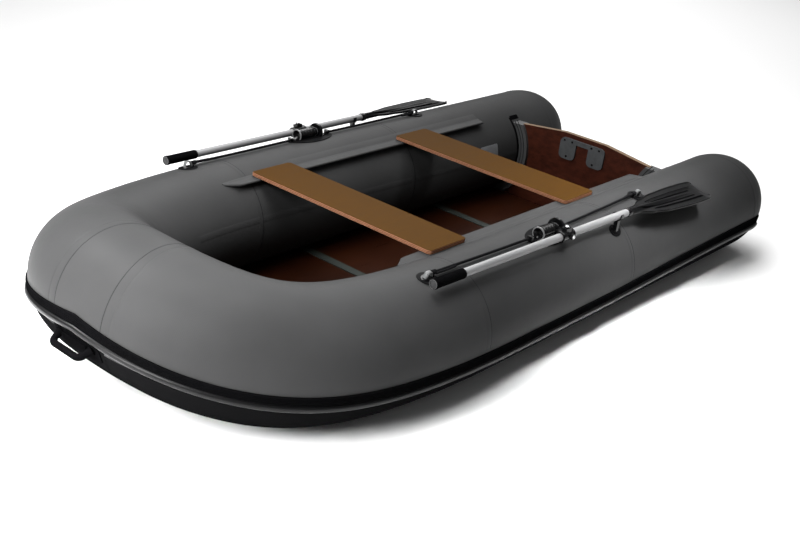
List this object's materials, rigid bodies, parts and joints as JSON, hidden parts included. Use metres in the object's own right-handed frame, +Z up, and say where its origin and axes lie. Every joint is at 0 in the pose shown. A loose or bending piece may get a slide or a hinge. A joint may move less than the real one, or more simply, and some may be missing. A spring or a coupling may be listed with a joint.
{
  "type": "inflatable boat",
  "caption": "Inflatable boat with curved bow tube, plywood floor and transom, sliding bench seats and hinged oarlocks with aluminium oars",
  "frame": {"origin": "on the ground under the middle of the boat's overall box, between the tubes", "axes": "+X to the bow, +Y to port, +Z up"},
  "size_m": [3.2726, 1.5194, 0.5271],
  "materials": {
    "hull_fabric": "satin",
    "strake_rubber": "satin",
    "floor_plywood": "satin",
    "floor_profile": "matte",
    "transom_plywood": "satin",
    "holder_pvc": "satin",
    "motor_plate_plastic": "matte",
    "rail_plastic": "satin",
    "bench_plywood": "satin",
    "black_plastic": "satin",
    "oar_aluminium": "satin",
    "grip_rubber": "matte",
    "blade_plastic": "satin",
    "patch_rubber": "matte",
    "fitting_grey": "satin",
    "rope": "matte",
    "handle_rubber": "satin",
    "valve_plastic": "satin",
    "label": "matte"
  },
  "bodies": {
    "hull": {"port_tube": "hull_fabric", "starboard_tube": "hull_fabric", "port_stern_cone": "hull_fabric", "starboard_stern_cone": "hull_fabric", "bow_tube_port": "hull_fabric", "bow_tube_starboard": "hull_fabric", "bow_tube_centre": "hull_fabric", "hull_bottom": "hull_fabric", "floorboards": "floor_plywood", "floor_joint_profiles": "floor_profile", "transom_board": "transom_plywood", "port_transom_holder": "holder_pvc", "starboard_transom_holder": "holder_pvc", "motor_plate_inner": "motor_plate_plastic", "motor_plate_outer": "motor_plate_plastic", "bow_rub_strake_port": "strake_rubber", "bow_rub_strake_starboard": "strake_rubber", "port_rub_strake": "strake_rubber", "starboard_rub_strake": "strake_rubber", "port_seat_rail": "rail_plastic", "starboard_seat_rail": "rail_plastic", "port_oarlock_base": "black_plastic", "starboard_oarlock_base": "black_plastic", "oarlock_patches": "patch_rubber", "oar_clips": "black_plastic", "oar_clip_patches": "patch_rubber", "line_fittings": "fitting_grey", "line_fitting_patches": "patch_rubber", "grab_lines": "rope", "bow_handle_plate": "patch_rubber", "bow_handle": "handle_rubber", "valves": "valve_plastic", "info_label": "label"},
    "front_bench": {"front_bench_board": "bench_plywood", "front_bench_runners": "rail_plastic"},
    "rear_bench": {"rear_bench_board": "bench_plywood", "rear_bench_runners": "rail_plastic"},
    "port_oar": {"port_oarlock_swivel": "black_plastic", "port_oar_collar": "black_plastic", "port_oar_shaft": "oar_aluminium", "port_oar_grip": "grip_rubber", "port_oar_blade": "blade_plastic"},
    "starboard_oar": {"starboard_oarlock_swivel": "black_plastic", "starboard_oar_collar": "black_plastic", "starboard_oar_shaft": "oar_aluminium", "starboard_oar_grip": "grip_rubber", "starboard_oar_blade": "blade_plastic"}
  },
  "joints": [
    {"name": "front_bench_slide", "type": "slide", "parent": "hull", "child": "front_bench", "axis": [1, 0, 0], "range_m": [-0.31, 0.08]},
    {"name": "rear_bench_slide", "type": "slide", "parent": "hull", "child": "rear_bench", "axis": [1, 0, 0], "range_m": [-0.35, 0.31]},
    {"name": "port_oarlock_hinge", "type": "hinge", "parent": "hull", "child": "port_oar", "pos_m": [0.03083, 0.594, 0.44258], "axis": [1, 0, 0], "range_deg": [0, 105]},
    {"name": "starboard_oarlock_hinge", "type": "hinge", "parent": "hull", "child": "starboard_oar", "pos_m": [0.03083, -0.594, 0.44258], "axis": [-1, 0, 0], "range_deg": [0, 117]}
  ]
}
